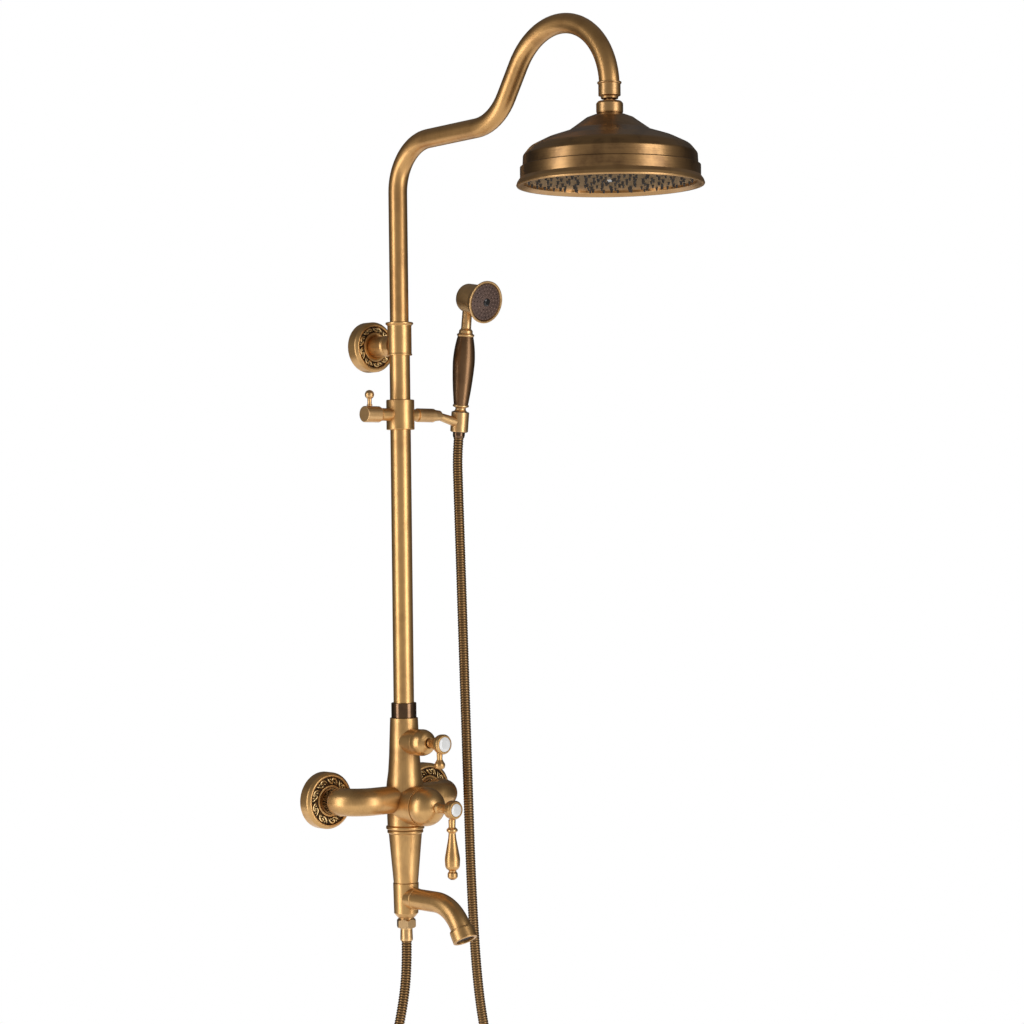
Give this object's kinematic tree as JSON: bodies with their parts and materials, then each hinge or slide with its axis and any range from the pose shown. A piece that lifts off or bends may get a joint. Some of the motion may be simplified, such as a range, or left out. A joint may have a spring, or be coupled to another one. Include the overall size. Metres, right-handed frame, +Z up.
{
  "type": "rainfall shower column",
  "caption": "Wall-mounted shower column: two-inlet lever mixer with swivelling spout and diverter, gooseneck arm with a bell rain head, and a hand shower on a sliding holder",
  "frame": {"origin": "on the wall plane, midway between the two inlets", "axes": "+Z up, -Y to the front away from the wall, +X to the right seen from the front"},
  "size_m": [0.2735, 0.5306, 1.4479],
  "materials": {
    "antique_brass": "brushed antique brass with darker recesses",
    "dark_bronze": "polished dark bronze",
    "bronze_hose": "double-wound metal hose",
    "brown_grip": "brown bronzed satin",
    "porcelain": "white glaze",
    "steel": "plain",
    "rubber": "matt",
    "nylon": "satin"
  },
  "bodies": {
    "column": {"inlet_flanges": "antique_brass", "wall_unions": "antique_brass", "union_nuts": "dark_bronze", "union_washers": "rubber", "mixer_body": "antique_brass", "lower_cone": "antique_brass", "outlet_stem": "antique_brass", "mixing_cartridge": "nylon", "cartridge_nut": "antique_brass", "diverter_cartridge": "nylon", "diverter_bonnet": "antique_brass", "riser_collar": "dark_bronze", "riser_pipe": "antique_brass", "riser_sleeve": "antique_brass", "bracket_stub": "antique_brass", "bracket_flange": "antique_brass", "bracket_plate": "steel", "bracket_screws": "steel", "hose_nut_lower": "antique_brass", "hose_ferrule": "dark_bronze", "hose_loop": "bronze_hose"},
    "arm_slider": {"arm_guide": "nylon"},
    "arm": {"gooseneck_arm": "antique_brass", "ball_stud": "antique_brass"},
    "ball_seat": {"ball_seal": "rubber"},
    "ball_liner": {"ball_ring": "nylon"},
    "head": {"ball_nut": "antique_brass", "head_shell": "antique_brass", "head_rim": "antique_brass", "spray_plate": "dark_bronze", "spray_nozzles": "rubber", "plate_screw": "steel"},
    "liner": {"slider_liner": "nylon", "hose_rise": "bronze_hose"},
    "clamp": {"slider_sleeve": "antique_brass", "holder_barrel": "antique_brass", "hose_neck": "bronze_hose"},
    "knob": {"clamp_spindle": "steel", "clamp_knob": "antique_brass", "clamp_lever": "antique_brass"},
    "cradle": {"holder_fork": "antique_brass", "socket_liner": "nylon", "hose_tail": "bronze_hose"},
    "handset": {"handset_seat": "antique_brass", "handset_grip": "brown_grip", "handset_shell": "antique_brass", "handset_face": "dark_bronze", "hose_nut_upper": "dark_bronze"},
    "spindle": {"valve_spindle": "antique_brass", "cross_pin": "steel"},
    "handle": {"valve_dome": "antique_brass", "valve_hub": "antique_brass", "valve_lever": "antique_brass", "valve_cap": "porcelain"},
    "diverter": {"diverter_lever": "antique_brass", "diverter_cap": "porcelain"},
    "spout": {"outlet_block": "antique_brass", "spout_tube": "antique_brass", "aerator_collar": "antique_brass", "aerator_insert": "nylon"}
  },
  "joints": [
    {"name": "arm_height", "type": "slide", "parent": "column", "child": "arm_slider", "axis": [0, 0, 1], "range_m": [-0.14, 0.1]},
    {"name": "arm_swivel", "type": "hinge", "parent": "arm_slider", "child": "arm", "pos_m": [0, -0.06, 0.6], "axis": [0, 0, 1], "range_deg": [-75, 75]},
    {"name": "head_tilt_side", "type": "hinge", "parent": "arm", "child": "ball_seat", "pos_m": [0, -0.416, 0.7615], "axis": [0, 1, 0], "range_deg": [-10, 10]},
    {"name": "head_tilt_front", "type": "hinge", "parent": "ball_seat", "child": "ball_liner", "pos_m": [0, -0.416, 0.7615], "axis": [1, 0, 0], "range_deg": [-10, 10]},
    {"name": "head_spin", "type": "hinge", "parent": "ball_liner", "child": "head", "pos_m": [0, -0.416, 0.7615], "axis": [0, 0, 1], "continuous": true},
    {"name": "holder_slide", "type": "slide", "parent": "column", "child": "liner", "axis": [0, 0, 1], "range_m": [-0.29, 0.045], "deforming": ["hose_loop", "hose_rise"]},
    {"name": "holder_swivel", "type": "hinge", "parent": "liner", "child": "clamp", "pos_m": [0, -0.06, 0.448], "axis": [0, 0, 1], "range_deg": [-45, 20], "deforming": ["hose_neck"]},
    {"name": "clamp_knob_turn", "type": "hinge", "parent": "clamp", "child": "knob", "pos_m": [-0.042, -0.06, 0.448], "axis": [1, 0, 0], "range_deg": [-90, 90]},
    {"name": "holder_tilt", "type": "hinge", "parent": "clamp", "child": "cradle", "pos_m": [0.0545, -0.06, 0.448], "axis": [1, 0, 0], "range_deg": [-15, 20], "deforming": ["hose_tail"]},
    {"name": "handset_lift", "type": "slide", "parent": "cradle", "child": "handset", "axis": [0, -0.1219, 0.9925], "range_m": [0, 0.055]},
    {"name": "temperature_turn", "type": "hinge", "parent": "column", "child": "spindle", "pos_m": [0, -0.085, -0.007], "axis": [0, -1, 0], "range_deg": [-45, 45]},
    {"name": "flow_lift", "type": "hinge", "parent": "spindle", "child": "handle", "pos_m": [0, -0.098, -0.007], "axis": [-1, 0, 0], "range_deg": [0, 12]},
    {"name": "diverter_turn", "type": "hinge", "parent": "column", "child": "diverter", "pos_m": [0, -0.1, 0.067], "axis": [0, -1, 0], "range_deg": [-90, 90]},
    {"name": "spout_swivel", "type": "hinge", "parent": "column", "child": "spout", "pos_m": [0, -0.06, -0.1157], "axis": [0, 0, 1], "range_deg": [-60, 60]}
  ]
}
